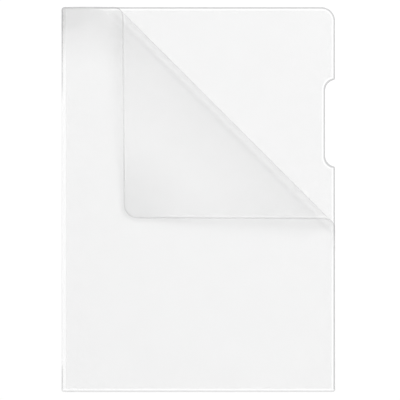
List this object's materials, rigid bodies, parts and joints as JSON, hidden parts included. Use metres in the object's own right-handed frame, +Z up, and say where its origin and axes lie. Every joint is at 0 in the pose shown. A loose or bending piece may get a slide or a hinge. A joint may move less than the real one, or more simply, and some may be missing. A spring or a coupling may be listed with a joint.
{
  "type": "l-shaped plastic folder",
  "caption": "Clear film document folder folded at its left and welded along its bottom, with a thumb notch and its front corner turned back.",
  "frame": {"origin": "middle of the folder's underside, as it lies on its back film", "axes": "+X towards the open side, +Y towards the open top, +Z up through the front film"},
  "size_m": [0.22, 0.31, 0.015],
  "materials": {
    "back_film": "finely grained clear film",
    "front_film": "finely grained clear film",
    "fold": "creased clear film",
    "seam": "welded, slightly milky film"
  },
  "bodies": {
    "pocket": {"back_film": "back_film", "front_film": "front_film", "left_fold": "fold", "bottom_seam": "seam"},
    "strip_01": {"bend_strip_01": "front_film"},
    "strip_02": {"bend_strip_02": "front_film"},
    "strip_03": {"bend_strip_03": "front_film"},
    "strip_04": {"bend_strip_04": "front_film"},
    "strip_05": {"bend_strip_05": "front_film"},
    "strip_06": {"bend_strip_06": "front_film"},
    "strip_07": {"bend_strip_07": "front_film"},
    "strip_08": {"bend_strip_08": "front_film"},
    "corner": {"turned_corner": "front_film"}
  },
  "joints": [
    {"name": "bend_line_1", "type": "hinge", "parent": "pocket", "child": "strip_01", "pos_m": [0.01725, 0.06225, 0.0013], "axis": [-0.7071, 0.7071, 0], "range_deg": [0, 11.62]},
    {"name": "bend_line_2", "type": "hinge", "parent": "strip_01", "child": "strip_02", "pos_m": [0.01915, 0.06415, 0.00185], "axis": [-0.7071, 0.7071, 0], "range_deg": [0, 23.25]},
    {"name": "bend_line_3", "type": "hinge", "parent": "strip_02", "child": "strip_03", "pos_m": [0.02074, 0.06574, 0.00342], "axis": [-0.7071, 0.7071, 0], "range_deg": [0, 23.25]},
    {"name": "bend_line_4", "type": "hinge", "parent": "strip_03", "child": "strip_04", "pos_m": [0.02176, 0.06676, 0.00575], "axis": [-0.7071, 0.7071, 0], "range_deg": [0, 23.25]},
    {"name": "bend_line_5", "type": "hinge", "parent": "strip_04", "child": "strip_05", "pos_m": [0.02205, 0.06705, 0.00846], "axis": [-0.7071, 0.7071, 0], "range_deg": [0, 23.25]},
    {"name": "bend_line_6", "type": "hinge", "parent": "strip_05", "child": "strip_06", "pos_m": [0.02156, 0.06656, 0.01111], "axis": [-0.7071, 0.7071, 0], "range_deg": [0, 23.25]},
    {"name": "bend_line_7", "type": "hinge", "parent": "strip_06", "child": "strip_07", "pos_m": [0.02037, 0.06537, 0.01327], "axis": [-0.7071, 0.7071, 0], "range_deg": [0, 23.25]},
    {"name": "bend_line_8", "type": "hinge", "parent": "strip_07", "child": "strip_08", "pos_m": [0.01868, 0.06367, 0.01459], "axis": [-0.7071, 0.7071, 0], "range_deg": [0, 23.25]},
    {"name": "bend_line_9", "type": "hinge", "parent": "strip_08", "child": "corner", "pos_m": [0.01675, 0.06175, 0.01486], "axis": [-0.7071, 0.7071, 0], "range_deg": [0, 11.62]}
  ]
}
